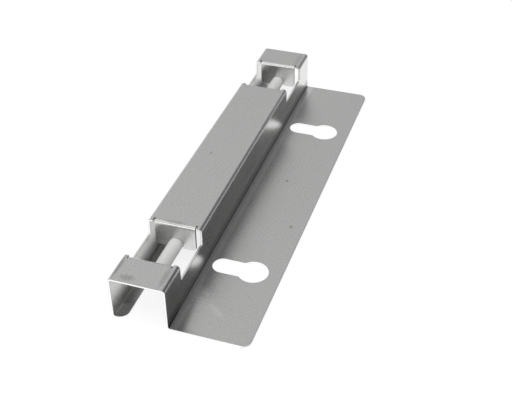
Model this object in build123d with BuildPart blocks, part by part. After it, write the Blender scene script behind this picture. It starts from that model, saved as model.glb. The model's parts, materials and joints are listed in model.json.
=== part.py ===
from build123d import *

import os
from math import cos, radians, sin, sqrt

# Fryer basket hanger: a folded stainless sheet with two welded bars.
#
# The mounting flange lies on the wall, face down here, and two keyholes in it
# hang on headed studs. A channel runs along its upper edge. Two notches in the
# channel take the hooks of two baskets, and each hook drops over a round bar
# that two flaps of the sheet carry.
#
# Frame, in millimetres: Z = 0 is the wall, +Z comes out of it, -X is up on the
# wall, and Y runs along the hanger. The origin lies on the wall midway between
# the two studs.

# Sheet and folds
sheet = 1.5
bend_inside = 1.0
length = 304.8

# Section, measured over the outer faces
channel_width = 38.0
channel_depth = 32.0
flange_width = 52.0
lip_width = 9.5
outline_corner = 6.0

# Notches for the basket hooks
end_tab = 24.0
notch_length = 36.5
notch_bite = 12.0
notch_corner = 1.2

# Flaps that carry the bars, and the relief cuts beside their folds
flap_inset = 4.75
flap_height = 19.0
flap_corner = 2.5
relief_width = 0.9
relief_past_bend = 0.5

# Keyholes across the flange
stud_pitch = 175.0
stud_inset = 11.7
stud_slot = 14.0
head_hole = 20.6
head_drop = 21.0
neck_round = 0.5

# Bars, and the welds behind the flaps
bar_diameter = 9.5
bar_seat_clearance = 0.1
saddle_depth = 7.6
bar_past_flap = 2.2
bar_end_chamfer = 0.4
weld_leg = 1.6
weld_arc = 230.0

# Levels and places that follow from the sizes above
bend_middle = bend_inside + sheet / 2
bend_outside = bend_inside + sheet
web_face = -stud_inset
wall_face = web_face - channel_width
flange_edge = web_face + flange_width
lip_edge = wall_face + lip_width
top_middle = channel_depth - sheet / 2

neck_x = head_drop - sqrt((head_hole / 2) ** 2 - (stud_slot / 2) ** 2)

notch_y = length / 2 - end_tab - notch_length / 2
notch_floor = channel_depth - notch_bite
fold_reach = bend_outside + relief_past_bend

flap_low_x = wall_face + flap_inset
flap_high_x = web_face - flap_inset
flap_width = flap_high_x - flap_low_x
flap_foot = channel_depth - flap_height

bar_radius = bar_diameter / 2
saddle_radius = bar_radius + bar_seat_clearance
bar_x = (flap_low_x + flap_high_x) / 2
bar_z = flap_foot + saddle_depth - saddle_radius
bar_length = notch_length + 2 * (sheet + bar_past_flap)
weld_tilt = radians(weld_arc / 2)

# Edges are picked within this distance of the place where they lie
near = 0.1

# The folded sheet
with BuildPart() as hanger_body:
    # Section in the XZ plane, drawn along the middle of the sheet
    with BuildSketch(Plane.XZ.offset(-length / 2)):
        with BuildLine():
            FilletPolyline(
                (flange_edge, sheet / 2),
                (web_face - sheet / 2, sheet / 2),
                (web_face - sheet / 2, top_middle),
                (wall_face + sheet / 2, top_middle),
                (wall_face + sheet / 2, sheet / 2),
                (lip_edge, sheet / 2),
                radius=bend_middle,
            )
        trace(line_width=sheet)
    extrude(amount=length)

    # Rounded corners at the free edges of the flange and the lip
    upright = hanger_body.edges().filter_by(Axis.Z)
    flange_corners = upright.filter_by_position(Axis.X, flange_edge - near, flange_edge + near)
    lip_corners = upright.filter_by_position(Axis.X, lip_edge - near, lip_edge + near)
    fillet(flange_corners + lip_corners, radius=outline_corner)

    # Keyholes: a slot for the stud, opening into a round hole for its head
    with BuildSketch(Plane.XY) as keyholes:
        with Locations((0, -stud_pitch / 2), (0, stud_pitch / 2)):
            Circle(stud_slot / 2)
            Rectangle(head_drop, stud_slot, align=(Align.MIN, Align.CENTER))
        with Locations((head_drop, -stud_pitch / 2), (head_drop, stud_pitch / 2)):
            Circle(head_hole / 2)
        necks = keyholes.vertices().filter_by_position(Axis.X, neck_x - near, neck_x + near)
        fillet(necks, radius=neck_round)
    extrude(amount=sheet, mode=Mode.SUBTRACT)

    # Notches, cut through the top and down into the web and the front wall
    with BuildSketch(Plane.YZ.offset(wall_face)) as notch_side:
        with Locations((-notch_y, notch_floor), (notch_y, notch_floor)):
            Rectangle(notch_length, 2 * notch_bite, align=(Align.CENTER, Align.MIN))
        fillet(notch_side.vertices().group_by(Axis.Y)[0], radius=notch_corner)
    extrude(amount=channel_width, mode=Mode.SUBTRACT)

    # The top is opened further at each notch end, up to where the flap's fold
    # starts, with a round-ended relief cut at each side of the flap
    with BuildSketch(Plane.XY.offset(channel_depth)):
        with Locations((bar_x, -notch_y), (bar_x, notch_y)):
            Rectangle(flap_width, notch_length + 2 * fold_reach)
        for side_x in (flap_low_x - relief_width / 2, flap_high_x + relief_width / 2):
            with Locations((side_x, -notch_y), (side_x, notch_y)):
                SlotOverall(notch_length + 2 * fold_reach, relief_width, rotation=90)
    extrude(amount=-2 * sheet, mode=Mode.SUBTRACT)

    # Flaps, folded down from the top at both ends of each notch
    with BuildSketch(Plane.YZ.offset(flap_low_x)):
        for centre in (-notch_y, notch_y):
            for side in (-1, 1):
                end = centre + side * notch_length / 2
                with BuildLine():
                    FilletPolyline(
                        (end + side * fold_reach, top_middle),
                        (end + side * sheet / 2, top_middle),
                        (end + side * sheet / 2, flap_foot),
                        radius=bend_middle,
                    )
                trace(line_width=sheet)
    extrude(amount=flap_width)
    flap_feet = hanger_body.edges().filter_by(Axis.Y)
    flap_feet = flap_feet.filter_by_position(Axis.Z, flap_foot - near, flap_foot + near)
    fillet(flap_feet, radius=flap_corner)

    # Saddles in the flaps' lower edges, where the bars are pushed in
    with BuildSketch(Plane.XZ.offset(-length / 2)):
        with Locations((bar_x, bar_z)):
            Circle(saddle_radius)
            Rectangle(2 * saddle_radius, 2 * saddle_depth, align=(Align.CENTER, Align.MAX))
    extrude(amount=length, mode=Mode.SUBTRACT)
hanger_body.part.label = "hanger_body"

os.makedirs("parts", exist_ok=True)
export_step(hanger_body.part, "parts/hanger_body.step")

# The two bars, each with the fillet welds behind its flaps
for bar_name, centre in (("left_bar", -notch_y), ("right_bar", notch_y)):
    bar_axis = Axis((bar_x, centre, bar_z), (0, 1, 0))
    with BuildPart() as bar:
        with BuildSketch(Plane.XZ.offset(-centre - bar_length / 2)):
            with Locations((bar_x, bar_z)):
                Circle(bar_radius)
        extrude(amount=bar_length)
        chamfer(bar.edges().filter_by(GeomType.CIRCLE), length=bar_end_chamfer)
        for side in (-1, 1):
            flap_back = centre + side * (notch_length / 2 + sheet)
            weld_start = Plane(
                origin=(bar_x, flap_back, bar_z),
                x_dir=(0, side, 0),
                z_dir=(side * cos(weld_tilt), 0, side * sin(weld_tilt)),
            )
            with BuildSketch(weld_start):
                with BuildLine():
                    Polyline(
                        (0, bar_radius / 2),
                        (0, bar_radius + weld_leg),
                        (weld_leg, bar_radius),
                        (weld_leg, bar_radius / 2),
                        close=True,
                    )
                make_face()
            revolve(axis=bar_axis, revolution_arc=weld_arc)
    bar.part.label = bar_name
    export_step(bar.part, f"parts/{bar_name}.step")
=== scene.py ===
import json
import math
import bpy
import bmesh
from mathutils import Matrix, Vector
from mathutils.bvhtree import BVHTree
from mathutils.geometry import intersect_point_line


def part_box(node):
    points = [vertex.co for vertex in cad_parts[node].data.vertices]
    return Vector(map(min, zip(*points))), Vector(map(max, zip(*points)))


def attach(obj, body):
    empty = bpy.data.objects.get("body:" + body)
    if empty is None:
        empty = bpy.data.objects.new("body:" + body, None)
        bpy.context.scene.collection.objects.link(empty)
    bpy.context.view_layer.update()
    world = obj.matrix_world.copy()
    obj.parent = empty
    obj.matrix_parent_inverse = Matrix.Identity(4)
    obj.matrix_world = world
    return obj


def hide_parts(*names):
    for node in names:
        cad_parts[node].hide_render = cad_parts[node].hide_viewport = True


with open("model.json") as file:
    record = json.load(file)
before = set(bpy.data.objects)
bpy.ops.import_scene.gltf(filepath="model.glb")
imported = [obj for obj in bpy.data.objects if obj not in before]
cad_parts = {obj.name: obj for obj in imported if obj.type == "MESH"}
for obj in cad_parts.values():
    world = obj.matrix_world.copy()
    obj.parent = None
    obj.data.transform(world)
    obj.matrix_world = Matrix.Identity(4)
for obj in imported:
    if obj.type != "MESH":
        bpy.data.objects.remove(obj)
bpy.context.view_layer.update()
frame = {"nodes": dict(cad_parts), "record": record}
print("frame:", len(frame["nodes"]), "nodes")

mm = 0.001
scene = bpy.context.scene
scene.view_settings.view_transform = "Standard"
mounts = {m["name"]: Vector(m["pos_m"]) for m in frame["record"]["mounts"]}


# helpers

def newObject(name, data):
    thing = bpy.data.objects.new(name, data)
    scene.collection.objects.link(thing)
    return thing


def settled(rough, name):  # what an object's modifiers make of it, as a plain piece
    depsgraph = bpy.context.evaluated_depsgraph_get()
    mesh = bpy.data.meshes.new_from_object(rough.evaluated_get(depsgraph))
    bpy.data.objects.remove(rough)
    mesh.name = name
    return newObject(name, mesh)


def feed(tree, socket, value):  # a number, a colour or another node's output
    if isinstance(value, bpy.types.NodeSocket):
        tree.links.new(value, socket)
    else:
        socket.default_value = value


def addNode(tree, kind, settings=(), **inputs):  # inputs are fed by name, with _ for a space
    node = tree.nodes.new(kind)
    for name, value in dict(settings).items():
        setattr(node, name, value)
    for name, value in inputs.items():
        feed(tree, node.inputs[name.replace("_", " ")], value)
    return node


def maths(tree, operation, *values, clamp=False):
    node = addNode(tree, "ShaderNodeMath", {"operation": operation, "use_clamp": clamp})
    for socket, value in zip(node.inputs, values):
        feed(tree, socket, value)
    return node.outputs[0]


def vectorMaths(tree, operation, *values):
    node = addNode(tree, "ShaderNodeVectorMath", {"operation": operation})
    for socket, value in zip(node.inputs, values):
        feed(tree, socket, value)
    return node.outputs["Value" if operation == "LENGTH" else "Vector"]


def scaled(tree, vector, factor):  # a place or a colour times one number
    node = addNode(tree, "ShaderNodeVectorMath", {"operation": "SCALE"}, Vector=vector, Scale=factor)
    return node.outputs["Vector"]


def mapRange(tree, value, fromLow, fromHigh, toLow=0.0, toHigh=1.0, smooth=False):
    kind = "SMOOTHSTEP" if smooth else "LINEAR"
    node = addNode(tree, "ShaderNodeMapRange", {"interpolation_type": kind}, Value=value,
                   From_Min=fromLow, From_Max=fromHigh, To_Min=toLow, To_Max=toHigh)
    return node.outputs["Result"]


def noise(tree, place, detail, roughness=0.5):
    node = addNode(tree, "ShaderNodeTexNoise", Vector=place, Scale=1.0, Detail=detail, Roughness=roughness)
    return node.outputs[0]


# folded sheet

hanger = {
    "thick": 1.5 * mm,
    "bendInside": 1.0 * mm,
    "bendSteps": 12,  # along each bend, in measuring the flat blank
    "webFace": -11.7 * mm,
    "lip": 9.5 * mm,
    "notch": 36.5 * mm,
    "flapInset": 4.75 * mm,
    "flapHeight": 19.0 * mm,
    "foldReach": 3.0 * mm,  # from a notch's end to where the flap starts, just past its bend
    "skinWithin": 0.1,  # how far off the thickness may be behind a face of the skin, as a share of it
    "merge": 0.002 * mm,  # points this near are one
    "planeWithin": 0.6,  # degrees between faces that are one plane
    "edgeBreak": 0.18 * mm,
    "edgeBreakSteps": 2,
    "sharpFrom": 35,  # degrees
}
low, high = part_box("hanger_body")
halfThick = hanger["thick"] / 2
bendMiddle = hanger["bendInside"] + halfThick
flapEdges = (low.x + hanger["flapInset"], hanger["webFace"] - hanger["flapInset"])
flapFoot = high.z - hanger["flapHeight"]
topMiddle = high.z - halfThick


def bentLine(corners, radius):  # straight runs joined by arcs, as 3-D points with z 0
    steps = hanger["bendSteps"]
    points = [Vector((*corners[0], 0))]
    for before, corner, after in zip(corners, corners[1:], corners[2:]):
        corner = Vector((*corner, 0))
        back = (Vector((*before, 0)) - corner).normalized()
        ahead = (Vector((*after, 0)) - corner).normalized()
        centre = corner + radius * (back + ahead)  # the corners here are all square
        for i in range(steps + 1):
            turn = math.pi / 2 * i / steps
            points.append(centre - radius * (ahead * math.cos(turn) + back * math.sin(turn)))
    points.append(Vector((*corners[-1], 0)))
    return points


def placeAlong(line, a, b):  # length of the line up to the point nearest to (a, b)
    point = Vector((a, b, 0))
    best = (math.inf, 0)
    walked = 0
    for start, end in zip(line, line[1:]):
        share = min(1, max(0, intersect_point_line(point, start, end)[1]))
        missed = (start.lerp(end, share) - point).length
        best = min(best, (missed, walked + share * (end - start).length))
        walked += (end - start).length
    return best[1]


webMiddle = hanger["webFace"] - halfThick
wallMiddle = low.x + halfThick
sectionLine = bentLine(
    [
        (high.x, halfThick),
        (webMiddle, halfThick),
        (webMiddle, topMiddle),
        (wallMiddle, topMiddle),
        (wallMiddle, halfThick),
        (low.x + hanger["lip"], halfThick),
    ],
    bendMiddle,
)


def flapLines():  # side, notch end and line of each of the four flaps
    found = []
    for bar in ("left_hook_bar", "right_hook_bar"):
        for side in (-1, 1):
            end = mounts[bar].y + side * hanger["notch"] / 2
            fold = end + side * hanger["foldReach"]
            edge = end + side * halfThick
            line = bentLine([(fold, topMiddle), (edge, topMiddle), (edge, flapFoot)], bendMiddle)
            found.append((side, end, line))
    return found


flaps = flapLines()


def flatPlace(p):  # where a point of the folded sheet lies on the flat blank
    slack = hanger["merge"]
    for side, end, line in flaps:
        past = side * (p.y - end)
        across = flapEdges[0] - slack < p.x < flapEdges[1] + slack
        if across and -slack < past < hanger["foldReach"] + slack and p.z > flapFoot - slack:
            fold = end + side * hanger["foldReach"]
            return placeAlong(sectionLine, p.x, topMiddle), fold - side * placeAlong(line, p.y, p.z)
    return placeAlong(sectionLine, p.x, p.z), p.y


def wholeFaces():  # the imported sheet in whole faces, its skin in slot 0 and its cut edges in slot 1
    build = bmesh.new()
    build.from_mesh(frame["nodes"]["hanger_body"].data)
    bmesh.ops.remove_doubles(build, verts=build.verts, dist=hanger["merge"])
    tree = BVHTree.FromBMesh(build)
    for face in build.faces:
        inside = face.calc_center_median() - face.normal * hanger["merge"]
        depth = tree.ray_cast(inside, -face.normal)[3] or 0
        isSkin = abs(depth - hanger["thick"]) < hanger["skinWithin"] * hanger["thick"]
        face.material_index = 0 if isSkin else 1
    flat = math.radians(hanger["planeWithin"])
    bmesh.ops.dissolve_limit(
        build, angle_limit=flat, verts=build.verts, edges=build.edges, delimit={"MATERIAL"}
    )
    for face in build.faces:
        face.smooth = True
    mesh = bpy.data.meshes.new("foldedSheet")
    build.to_mesh(mesh)
    build.free()
    return mesh


def addFlatBlank(mesh):  # a UV map in metres that unfolds the sheet
    blank = mesh.uv_layers.new(name="flatBlank")
    places = [flatPlace(v.co) for v in mesh.vertices]
    for loop in mesh.loops:
        blank.data[loop.index].uv = places[loop.vertex_index]


def makeSheet(materials):  # skin, cut edge and broken edge
    mesh = wholeFaces()
    for material in materials:
        mesh.materials.append(material)
    rough = newObject("foldedSheetRough", mesh)
    bevel = rough.modifiers.new("edgeBreak", "BEVEL")
    bevel.width = hanger["edgeBreak"]
    bevel.segments = hanger["edgeBreakSteps"]
    bevel.limit_method = "ANGLE"
    bevel.angle_limit = math.radians(hanger["sharpFrom"])
    bevel.use_clamp_overlap = False
    bevel.material = len(materials) - 1
    normals = rough.modifiers.new("flatFaces", "WEIGHTED_NORMAL")
    normals.keep_sharp = True
    piece = settled(rough, "folded_sheet")
    addFlatBlank(piece.data)
    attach(piece, "root")
    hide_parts("hanger_body")
    return piece


# finishes

grain = {  # what the finishes share
    "lineDetail": 2,
    "lineRoughness": 0.6,
    "streakCount": (0.13, 0.3, 0.13),  # streaks for each line across, along and through
    "gritDetail": 1,
    "cloudDetail": 3,
}


def makeSurfaceGroup():  # lines and streaks along Y, grit and clouds, each from 0 to 1
    tree = bpy.data.node_groups.new("steelSurface", "ShaderNodeTree")
    tree.interface.new_socket("Place", in_out="INPUT", socket_type="NodeSocketVector")
    for name in ("Line width", "Line length", "Grit size", "Cloud size"):
        tree.interface.new_socket(name, in_out="INPUT", socket_type="NodeSocketFloat")
    for name in ("Lines", "Streaks", "Grit", "Clouds"):
        tree.interface.new_socket(name, in_out="OUTPUT", socket_type="NodeSocketFloat")
    given = tree.nodes.new("NodeGroupInput").outputs
    out = tree.nodes.new("NodeGroupOutput").inputs
    parts = addNode(tree, "ShaderNodeSeparateXYZ", Vector=given["Place"]).outputs
    lines = addNode(
        tree, "ShaderNodeCombineXYZ",
        X=maths(tree, "DIVIDE", parts["X"], given["Line width"]),
        Y=maths(tree, "DIVIDE", parts["Y"], given["Line length"]),
        Z=maths(tree, "DIVIDE", parts["Z"], given["Line width"]),
    ).outputs[0]
    streaks = vectorMaths(tree, "MULTIPLY", lines, grain["streakCount"])
    grit = scaled(tree, given["Place"], maths(tree, "DIVIDE", 1, given["Grit size"]))
    clouds = scaled(tree, given["Place"], maths(tree, "DIVIDE", 1, given["Cloud size"]))
    feed(tree, out["Lines"], noise(tree, lines, grain["lineDetail"], grain["lineRoughness"]))
    feed(tree, out["Streaks"], noise(tree, streaks, grain["lineDetail"]))
    feed(tree, out["Grit"], noise(tree, grit, grain["gritDetail"]))
    feed(tree, out["Clouds"], noise(tree, clouds, grain["cloudDetail"]))
    return tree


surfaceGroup = makeSurfaceGroup()


def blankPlace(tree):
    return addNode(tree, "ShaderNodeUVMap", {"uv_map": "flatBlank"}).outputs[0]


def objectPlace(tree):
    return addNode(tree, "ShaderNodeTexCoord").outputs["Object"]


def blended(tree, middle, surface, shares):  # middle + the sum of share * (value - 0.5)
    total = middle
    for name, share in shares.items():
        total = maths(tree, "ADD", total, maths(tree, "MULTIPLY_ADD", surface[name], share, -0.5 * share))
    return total


def finishMetal(finish, name, placeOf):  # a metal with the group's detail in tone, roughness and bump
    material = bpy.data.materials.new(name)
    material.use_nodes = True
    tree = material.node_tree
    shader = tree.nodes["Principled BSDF"]
    shader.inputs["Base Color"].default_value = (*finish["colour"], 1)
    shader.inputs["Metallic"].default_value = finish.get("metallic", 1)
    shader.inputs["Roughness"].default_value = finish["roughness"]
    shader.inputs["Anisotropic"].default_value = finish.get("anisotropy", 0)
    surface = addNode(
        tree, "ShaderNodeGroup", {"node_tree": surfaceGroup}, Place=placeOf(tree),
        Line_width=finish["lineWidth"], Line_length=finish["lineLength"],
        Grit_size=finish["gritSize"], Cloud_size=finish["cloudSize"],
    ).outputs
    tone = blended(tree, 1.0, surface, finish["toneShares"])
    roughness = blended(tree, finish["roughness"], surface, finish["roughnessShares"])
    height = blended(tree, 0.5, surface, finish["heightShares"])
    bump = addNode(tree, "ShaderNodeBump", Strength=1.0, Distance=finish["bumpDepth"], Height=height)
    feed(tree, shader.inputs["Normal"], bump.outputs[0])
    return material, tree, shader, tone, roughness


satin = {
    "colour": (0.62, 0.62, 0.615),
    "roughness": 0.28,
    "anisotropy": 0.7,  # reflections are drawn out across the grain
    "lineWidth": 0.12 * mm,
    "lineLength": 20 * mm,
    "gritSize": 0.9 * mm,
    "cloudSize": 26 * mm,
    "toneShares": {"Lines": 0.16, "Streaks": 0.06, "Grit": 0.45, "Clouds": 0.08},
    "roughnessShares": {"Lines": 0.06, "Clouds": 0.08, "Grit": 0.03},
    "heightShares": {"Lines": 0.5, "Streaks": 0.5},
    "bumpDepth": 0.002 * mm,
    "markRoughness": -0.3,  # times a mark's tone, so that a darker mark is rougher
}
endToEnd = 2000  # mm, far past both ends of the sheet

# The sheet's marks, some real and some painted light or shade, as noted at each. A mark has its centre and
# half size in mm, its turn in degrees, the tone that it adds, how ragged it is, and how much of its light
# it scatters, if it is dull.
marksAndPaintedLight = [
    # smudge on the near tab
    {"at": (-38.3, -147.9, 32), "half": (6.0, 3.0, 2), "tone": -0.22, "ragged": 0.9},
    # painted shade on the middle top, above a flap's fold, for a darker reflection there
    {"at": (-31.0, -89.7, 31.7), "half": (9.5, 2.0, 2), "tone": -0.2, "ragged": 0.5},
    # painted shade beside the tabs' bends, darkening the tops' edges as the bends' own shading does
    {"at": (-16.4, -140.5, 32), "half": (2.3, 12.0, 2), "tone": -0.2, "ragged": 0.6},
    {"at": (-16.8, 140.4, 32), "half": (2.5, 12.0, 2), "tone": -0.12, "ragged": 0.5},
    {"at": (-47.9, -140.4, 31.5), "half": (2.4, 13.5, 3), "tone": -0.32, "ragged": 0.25},
    # specks
    {"at": (-37.2, -8.6, 32), "half": (1.2, 1.6, 1), "tone": -0.32, "ragged": 0.2},
    {"at": (30.9, -35.2, 1.5), "half": (1.3, 2.3, 1), "turn": 25, "tone": -0.29, "ragged": 0.2},
    {"at": (12.4, 15.5, 1.5), "half": (1.0, 1.4, 1), "tone": -0.46, "ragged": 0.2},
    # pale streak
    {"at": (10.7, -129.1, 1.5), "half": (10.0, 2.6, 2), "turn": -38, "tone": 0.07, "ragged": 0.6},
    # painted shade along the inner bend, and beside it a dull strip, lightened by painted light
    {"at": (-11.7, 0, 3.0), "half": (0.5, endToEnd, 6.5), "tone": -0.38, "ragged": 0.1},
    {"at": (-11.4, 0, 1.8), "half": (0.8, endToEnd, 1.2), "tone": -0.38, "ragged": 0.1},
    {"at": (-8.7, 0, 1.5), "half": (3.5, endToEnd, 0.8), "tone": 0.2, "ragged": 0.1, "dull": 0.15},
    # dull outer bends
    {"at": (-12.4, 0, 31.3), "half": (2.2, endToEnd, 2.2), "tone": 0.04, "ragged": 0.1, "dull": 0.12},
    {"at": (-49.0, 0, 31.3), "half": (2.2, endToEnd, 2.2), "tone": 0.04, "ragged": 0.1, "dull": 0.12},
    # painted shade at the foot of the web and on the flange at the near end
    {"at": (-11.7, -146.0, 12.0), "half": (1.2, 20.0, 22.0), "tone": -0.28, "ragged": 0.3},
    {"at": (-6.5, -150.0, 1.5), "half": (5.5, 30.0, 1.0), "tone": -0.35, "ragged": 0.3},
]
markEdge = {
    "full": 0.35,  # a mark has its whole tone up to this share of its half size
    "gone": 1.1,
    "wander": 700,  # noise cells in a metre, for a ragged edge
    "detail": 3,
    "roughness": 0.6,
}


def markTone(tree, place, mark):  # 0 outside the mark, its tone inside
    flat = addNode(
        tree, "ShaderNodeMapping", {"vector_type": "TEXTURE"}, Vector=place,
        Location=[c * mm for c in mark["at"]],
        Rotation=(0, 0, math.radians(mark.get("turn", 0))),
        Scale=[c * mm for c in mark["half"]],
    )
    away = vectorMaths(tree, "LENGTH", flat.outputs[0])
    cells = vectorMaths(tree, "MULTIPLY", place, [markEdge["wander"]] * 3)
    wander = noise(tree, cells, markEdge["detail"], markEdge["roughness"])
    ragged = maths(tree, "MULTIPLY_ADD", wander, 2 * mark["ragged"], -mark["ragged"])
    away = maths(tree, "ADD", away, ragged)
    return mapRange(tree, away, markEdge["full"], markEdge["gone"], mark["tone"], 0, smooth=True)


relief = {  # painted shade in the relief cuts, sizes in mm
    "out": 0.45,  # from the flap's side
    "along": 1.5,  # from the notch's end
    "half": (1.0, 2.6, 2.6),
    "tone": -0.8,
    "ragged": 0.15,
}


def reliefShade(tree):  # painted shade in all eight relief cuts at once, by folding the object's coordinates
    bar = mounts["right_hook_bar"]
    place = addNode(tree, "ShaderNodeSeparateXYZ", Vector=objectPlace(tree)).outputs
    fromBar = maths(tree, "SUBTRACT", place["X"], bar.x)
    fromNotch = maths(tree, "SUBTRACT", maths(tree, "ABSOLUTE", place["Y"]), bar.y)
    folded = addNode(
        tree, "ShaderNodeCombineXYZ",
        X=maths(tree, "ABSOLUTE", fromBar),
        Y=maths(tree, "ABSOLUTE", fromNotch),
        Z=place["Z"],
    )
    out = (flapEdges[1] - flapEdges[0]) / 2 / mm + relief["out"]
    centre = (out, hanger["notch"] / 2 / mm + relief["along"], topMiddle / mm)
    return markTone(tree, folded.outputs[0], dict(relief, at=centre))


def makeSatin():
    material, tree, shader, tone, roughness = finishMetal(satin, "satinSheet", blankPlace)
    place = objectPlace(tree)
    metallic = 1
    for mark in marksAndPaintedLight:
        touched = markTone(tree, place, mark)
        if "dull" in mark:  # touched / tone is 1 in the mark and 0 outside it
            metallic = maths(tree, "MULTIPLY_ADD", touched, -mark["dull"] / mark["tone"], metallic)
        tone = maths(tree, "ADD", tone, touched)
        roughness = maths(tree, "MULTIPLY_ADD", touched, satin["markRoughness"], roughness)
    feed(tree, shader.inputs["Base Color"], scaled(tree, satin["colour"], tone))
    feed(tree, shader.inputs["Roughness"], roughness)
    feed(tree, shader.inputs["Metallic"], metallic)
    tangent = addNode(tree, "ShaderNodeTangent", {"direction_type": "UV_MAP", "uv_map": "flatBlank"})
    feed(tree, shader.inputs["Tangent"], tangent.outputs[0])
    return material


cutEdge = {  # its lines run through the sheet's thickness, because they follow the flat blank alone
    # painted shade on the cut faces at the relief cuts
    "paintedReliefShade": True,
    "colour": (0.86, 0.86, 0.85),
    "roughness": 0.4,
    "lineWidth": 0.25 * mm,
    "lineLength": 0.25 * mm,
    "gritSize": 0.9 * mm,
    "cloudSize": 9 * mm,
    "toneShares": {"Lines": 0.3, "Clouds": 0.15},
    "roughnessShares": {"Lines": 0.2, "Clouds": 0.1},
    "heightShares": {"Lines": 1.0},
    "bumpDepth": 0.008 * mm,
}
# the edge break's dark colour is painted shade, for the dark reflections along the sheet's edges
brokenEdgePaintedDark = dict(
    cutEdge,
    colour=(0.34, 0.34, 0.335),
    roughness=0.45,
    cloudSize=5 * mm,
    bumpDepth=0.003 * mm,
)
drawnBar = {
    "colour": (0.83, 0.83, 0.82),
    "roughness": 0.65,
    "metallic": 0.1,
    "lineWidth": 0.2 * mm,
    "lineLength": 9 * mm,
    "gritSize": 0.6 * mm,
    "cloudSize": 7 * mm,
    "toneShares": {"Lines": 0.10, "Grit": 0.30, "Clouds": 0.08},
    "roughnessShares": {"Lines": 0.1, "Clouds": 0.2},
    "heightShares": {"Lines": 0.7, "Grit": 0.6},
    "bumpDepth": 0.006 * mm,
}
weldMetal = {
    "colour": (0.56, 0.54, 0.51),
    "roughness": 0.34,
    "lineWidth": 0.3 * mm,
    "lineLength": 0.3 * mm,
    "gritSize": 0.5 * mm,
    "cloudSize": 2.5 * mm,
    "toneShares": {"Clouds": 0.5, "Grit": 0.2},
    "roughnessShares": {"Clouds": 0.3},
    "heightShares": {"Grit": 1.0},
    "bumpDepth": 0.01 * mm,
}


def makePlainMetal(finish, name, placeOf):
    material, tree, shader, tone, roughness = finishMetal(finish, name, placeOf)
    # the relief cuts' painted shade darkens the cut faces there
    if finish.get("paintedReliefShade"):
        tone = maths(tree, "ADD", tone, reliefShade(tree), clamp=True)
    feed(tree, shader.inputs["Base Color"], scaled(tree, finish["colour"], tone))
    feed(tree, shader.inputs["Roughness"], roughness)
    return material


sheet = makeSheet([
    makeSatin(),
    makePlainMetal(cutEdge, "cutEdge", blankPlace),
    makePlainMetal(brokenEdgePaintedDark, "brokenEdgePaintedDark", blankPlace),
])
print("folded sheet:", len(sheet.data.polygons), "faces")
barSteel = makePlainMetal(drawnBar, "drawnBar", objectPlace)
for name in ("left_bar", "right_bar"):
    bar = frame["nodes"][name].data
    bar.materials.clear()
    bar.materials.append(barSteel)
print("bars")


# weld beads behind the flaps

weldBead = {
    "barRadius": 4.75 * mm,
    "seat": 0.45 * mm,  # the bead's middle line, out from the bar and back from the flap
    "radius": 1.15 * mm,
    "sweep": 230,  # degrees, centred on the bar's top
    "pitch": 1.1 * mm,
    "ripple": 0.12,
    "unevenness": 0.25,
    "unevenScale": 400.0,  # noise cells in a metre
    "endLength": 0.06,  # of the bead, over which it tapers
    "endWidth": 0.35,  # of its full width
    "stepsPerRipple": 6,
    "sides": 14,
    "seed": 4,
}


def makeBeadTree():
    tree = bpy.data.node_groups.new("weldBeads", "GeometryNodeTree")
    for name, kind in (
        ("Points", "Geometry"), ("Line radius", "Float"), ("Bead radius", "Float"), ("Sweep", "Float"),
        ("Pitch", "Float"), ("Ripple", "Float"), ("Unevenness", "Float"), ("Uneven scale", "Float"),
        ("End length", "Float"), ("End width", "Float"), ("Steps", "Int"), ("Sides", "Int"),
        ("Seed", "Float"), ("Finish", "Material"),
    ):
        tree.interface.new_socket(name, in_out="INPUT", socket_type="NodeSocket" + kind)
    tree.interface.new_socket("Beads", in_out="OUTPUT", socket_type="NodeSocketGeometry")
    given = tree.nodes.new("NodeGroupInput").outputs
    start = maths(tree, "SUBTRACT", math.pi / 2, maths(tree, "MULTIPLY", given["Sweep"], 0.5))
    arc = addNode(tree, "GeometryNodeCurveArc", Radius=given["Line radius"], Start_Angle=start,
                  Sweep_Angle=given["Sweep"], Resolution=given["Steps"])
    upright = addNode(tree, "GeometryNodeTransform", Geometry=arc.outputs["Curve"],
                      Rotation=(math.pi / 2, 0, 0))
    walked = tree.nodes.new("GeometryNodeSplineParameter").outputs
    share = maths(tree, "FRACT", maths(tree, "DIVIDE", walked["Length"], given["Pitch"]))
    sag = maths(tree, "MULTIPLY", given["Ripple"], maths(tree, "POWER", share, 2))
    toEnd = maths(tree, "MINIMUM", walked["Factor"], maths(tree, "SUBTRACT", 1, walked["Factor"]))
    taper = mapRange(tree, toEnd, 0, given["End length"], given["End width"], 1, smooth=True)
    uneven = addNode(tree, "ShaderNodeTexNoise", {"noise_dimensions": "4D"}, W=given["Seed"],
                     Scale=given["Uneven scale"])
    swell = maths(tree, "MULTIPLY", given["Unevenness"], maths(tree, "SUBTRACT", uneven.outputs[0], 0.5))
    width = maths(tree, "MULTIPLY", taper, maths(tree, "ADD", maths(tree, "SUBTRACT", 1, sag), swell))
    ring = addNode(tree, "GeometryNodeCurvePrimitiveCircle", Radius=given["Bead radius"],
                   Resolution=given["Sides"])
    bead = addNode(tree, "GeometryNodeCurveToMesh", Curve=upright.outputs[0], Profile_Curve=ring.outputs[0],
                   Scale=width, Fill_Caps=True)
    smooth = addNode(tree, "GeometryNodeSetShadeSmooth", Geometry=bead.outputs[0])
    placed = addNode(tree, "GeometryNodeInstanceOnPoints", Points=given["Points"],
                     Instance=smooth.outputs[0])
    real = addNode(tree, "GeometryNodeRealizeInstances", Geometry=placed.outputs[0])
    done = addNode(tree, "GeometryNodeSetMaterial", Geometry=real.outputs[0], Material=given["Finish"])
    feed(tree, tree.nodes.new("NodeGroupOutput").inputs[0], done.outputs[0])
    return tree


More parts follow.
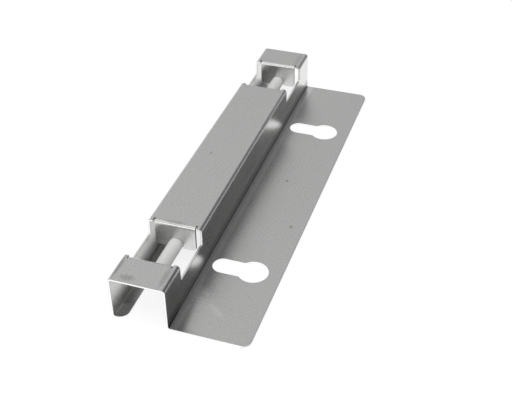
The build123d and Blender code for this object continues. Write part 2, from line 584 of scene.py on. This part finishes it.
def makeBeads():
    points = []
    for bar in ("left_hook_bar", "right_hook_bar"):
        for side in (-1, 1):
            out = side * (hanger["notch"] / 2 + hanger["thick"] + weldBead["seat"])
            points.append(mounts[bar] + Vector((0, out, 0)))
    mesh = bpy.data.meshes.new("beadPoints")
    mesh.from_pydata(points, [], [])
    rough = newObject("beadPoints", mesh)
    tree = makeBeadTree()
    lineRadius = weldBead["barRadius"] + weldBead["seat"]
    sweep = math.radians(weldBead["sweep"])
    values = {
        "Line radius": lineRadius,
        "Bead radius": weldBead["radius"],
        "Sweep": sweep,
        "Pitch": weldBead["pitch"],
        "Ripple": weldBead["ripple"],
        "Unevenness": weldBead["unevenness"],
        "Uneven scale": weldBead["unevenScale"],
        "End length": weldBead["endLength"],
        "End width": weldBead["endWidth"],
        "Steps": round(sweep * lineRadius / weldBead["pitch"] * weldBead["stepsPerRipple"]),
        "Sides": weldBead["sides"],
        "Seed": float(weldBead["seed"]),
        "Finish": makePlainMetal(weldMetal, "weldMetal", objectPlace),
    }
    modifier = rough.modifiers.new("beads", "NODES")
    modifier.node_group = tree
    for socket in tree.interface.items_tree:
        if socket.name in values:
            modifier[socket.identifier] = values[socket.name]
    piece = settled(rough, "weld_beads")
    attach(piece, "root")
    return piece


beads = makeBeads()
print("weld beads:", len(beads.data.polygons), "faces")


# studio

floorSize = {"radius": 12.0, "drop": 0.2 * mm, "sides": 64}
studio = {  # levels where 1 is white, and directions as the parts of a line of length 1
    "floorColour": 0.3,
    "floorGlow": 1.0,  # in reflections
    "floorSecond": 0.05,  # its share at a second bounce, in the sheet's own shade
    "floorThird": 0.5,  # its share at any later bounce
    "pastFlange": (34 * mm, 39 * mm),  # where it fades to the right
    "rightGlow": 0.435,  # its share past there
    "floorSeenGlow": 0.8,  # for the camera, which still sees the shadow
    "leftWall": 0.705,
    "darkPanel": 0.008,  # a black screen behind the object, right of the middle
    "panelSides": ((0.0, 0.16), (0.58, 0.82)),  # where it fades in and out along X
    "panelEnds": (-0.4, 0.0),  # and in along Y
    "rightWall": 0.174,
    "backWall": 0.53,
    "backFades": (0.62, 1.1),  # in along Y
    "below": 0.435,
    "belowFades": (-0.02, 0.06),  # out along Z
    "seen": 1.0,  # white behind the object for the camera
}


def glowLevel(tree, light):  # what the floor adds to its own colour, for reflections and the camera
    depth = light["Glossy Depth"]
    second = maths(tree, "COMPARE", depth, 2, 0.5)  # depths are whole numbers, and this one is 2
    later = maths(tree, "GREATER_THAN", depth, 2.5)  # 3 or more
    share = maths(tree, "MULTIPLY_ADD", second, studio["floorSecond"] - 1, 1)
    share = maths(tree, "MULTIPLY_ADD", later, studio["floorThird"] - 1, share)
    spot = addNode(tree, "ShaderNodeSeparateXYZ", Vector=objectPlace(tree)).outputs
    fromLeft = mapRange(tree, spot["X"], *studio["pastFlange"], 1, studio["rightGlow"])
    share = maths(tree, "MULTIPLY", share, fromLeft)
    mirrored = maths(tree, "ADD", light["Is Glossy Ray"], light["Is Transmission Ray"])
    mirrored = maths(tree, "MULTIPLY", mirrored, maths(tree, "MULTIPLY", share, studio["floorGlow"]))
    return maths(tree, "MULTIPLY_ADD", light["Is Camera Ray"], studio["floorSeenGlow"], mirrored)


def makeFloorMaterial():  # clear from below, so that the underside can be seen
    material = bpy.data.materials.new("floor")
    material.use_nodes = True
    tree = material.node_tree
    tree.nodes.clear()
    grey = studio["floorColour"]
    light = addNode(tree, "ShaderNodeLightPath").outputs
    diffuse = addNode(tree, "ShaderNodeBsdfDiffuse", Color=(grey, grey, grey, 1))
    glow = addNode(tree, "ShaderNodeEmission", Strength=glowLevel(tree, light))
    both = addNode(tree, "ShaderNodeAddShader")
    feed(tree, both.inputs[0], diffuse.outputs[0])
    feed(tree, both.inputs[1], glow.outputs[0])
    side = addNode(tree, "ShaderNodeNewGeometry")
    clear = addNode(tree, "ShaderNodeBsdfTransparent")
    mix = addNode(tree, "ShaderNodeMixShader")
    feed(tree, mix.inputs[0], side.outputs["Backfacing"])
    feed(tree, mix.inputs[1], both.outputs[0])
    feed(tree, mix.inputs[2], clear.outputs[0])
    addNode(tree, "ShaderNodeOutputMaterial", Surface=mix.outputs[0])
    return material


def makeFloor():
    mesh = bpy.data.meshes.new("floor")
    build = bmesh.new()
    bmesh.ops.create_circle(build, cap_ends=True, radius=floorSize["radius"], segments=floorSize["sides"])
    for v in build.verts:
        v.co.z = -floorSize["drop"]
    build.to_mesh(mesh)
    build.free()
    mesh.materials.append(makeFloorMaterial())
    floor = newObject("floor", mesh)


def makeWorld():
    world = bpy.data.worlds.new("studio")
    scene.world = world
    world.use_nodes = True
    tree = world.node_tree
    tree.nodes.clear()
    way = addNode(tree, "ShaderNodeTexCoord").outputs["Generated"]
    parts = addNode(tree, "ShaderNodeSeparateXYZ", Vector=way).outputs
    panelLeft, panelRight = studio["panelSides"]
    onPanel = mapRange(tree, parts["X"], *panelLeft, smooth=True)
    pastPanel = mapRange(tree, parts["X"], *panelRight, smooth=True)
    behind = mapRange(tree, parts["Y"], *studio["panelEnds"], smooth=True)
    toBack = mapRange(tree, parts["Y"], *studio["backFades"], smooth=True)
    under = mapRange(tree, parts["Z"], *studio["belowFades"], 1, 0, smooth=True)
    light = addNode(tree, "ShaderNodeLightPath").outputs
    stages = (
        (maths(tree, "MULTIPLY", onPanel, behind), "darkPanel"),
        (maths(tree, "MULTIPLY", pastPanel, behind), "rightWall"),
        (toBack, "backWall"),
        (under, "below"),
        (light["Is Camera Ray"], "seen"),
    )
    level = studio["leftWall"]
    for share, name in stages:
        mix = addNode(tree, "ShaderNodeMix", {"data_type": "FLOAT"}, Factor=share, A=level, B=studio[name])
        level = mix.outputs["Result"]
    back = addNode(tree, "ShaderNodeBackground", Color=(1, 1, 1, 1), Strength=level)
    addNode(tree, "ShaderNodeOutputWorld", Surface=back.outputs[0])


lamps = {
    "overhead": {"at": (0.5, -0.5, 1.5), "size": 2.4, "power": 14.5},
    "front": {"at": (-0.36, -1.15, 0.45), "size": 0.4, "power": 1.2},
}


def makeLamps():
    for name, lamp in lamps.items():
        data = bpy.data.lights.new(name, "AREA")
        data.shape = "SQUARE"
        data.size = lamp["size"]
        data.energy = lamp["power"]
        light = newObject(name, data)
        light.location = lamp["at"]
        light.rotation_euler = (-Vector(lamp["at"])).to_track_quat("-Z", "Y").to_euler()
        light.visible_camera = False


camera = {
    "at": (172.05 * mm, -515.11 * mm, 406.30 * mm),
    "azimuth": 19.142,  # degrees, and so are the next two
    "down": 37.626,
    "roll": -0.816,
    "lens": 65.223,  # mm, and so is the sensor
    "sensor": 36,
    "clip": (0.01, 100),  # metres
}


def makeCamera():
    data = bpy.data.cameras.new("camera")
    data.lens = camera["lens"]
    data.sensor_width = camera["sensor"]
    data.clip_start = camera["clip"][0]
    data.clip_end = camera["clip"][1]
    eye = newObject("camera", data)
    turn = (
        Matrix.Rotation(math.radians(camera["azimuth"]), 4, "Z")
        @ Matrix.Rotation(math.radians(90 - camera["down"]), 4, "X")
        @ Matrix.Rotation(math.radians(camera["roll"]), 4, "Z")
    )
    eye.matrix_world = Matrix.Translation(camera["at"]) @ turn
    scene.camera = eye


makeFloor()
makeWorld()
makeLamps()
makeCamera()
print("studio and camera")
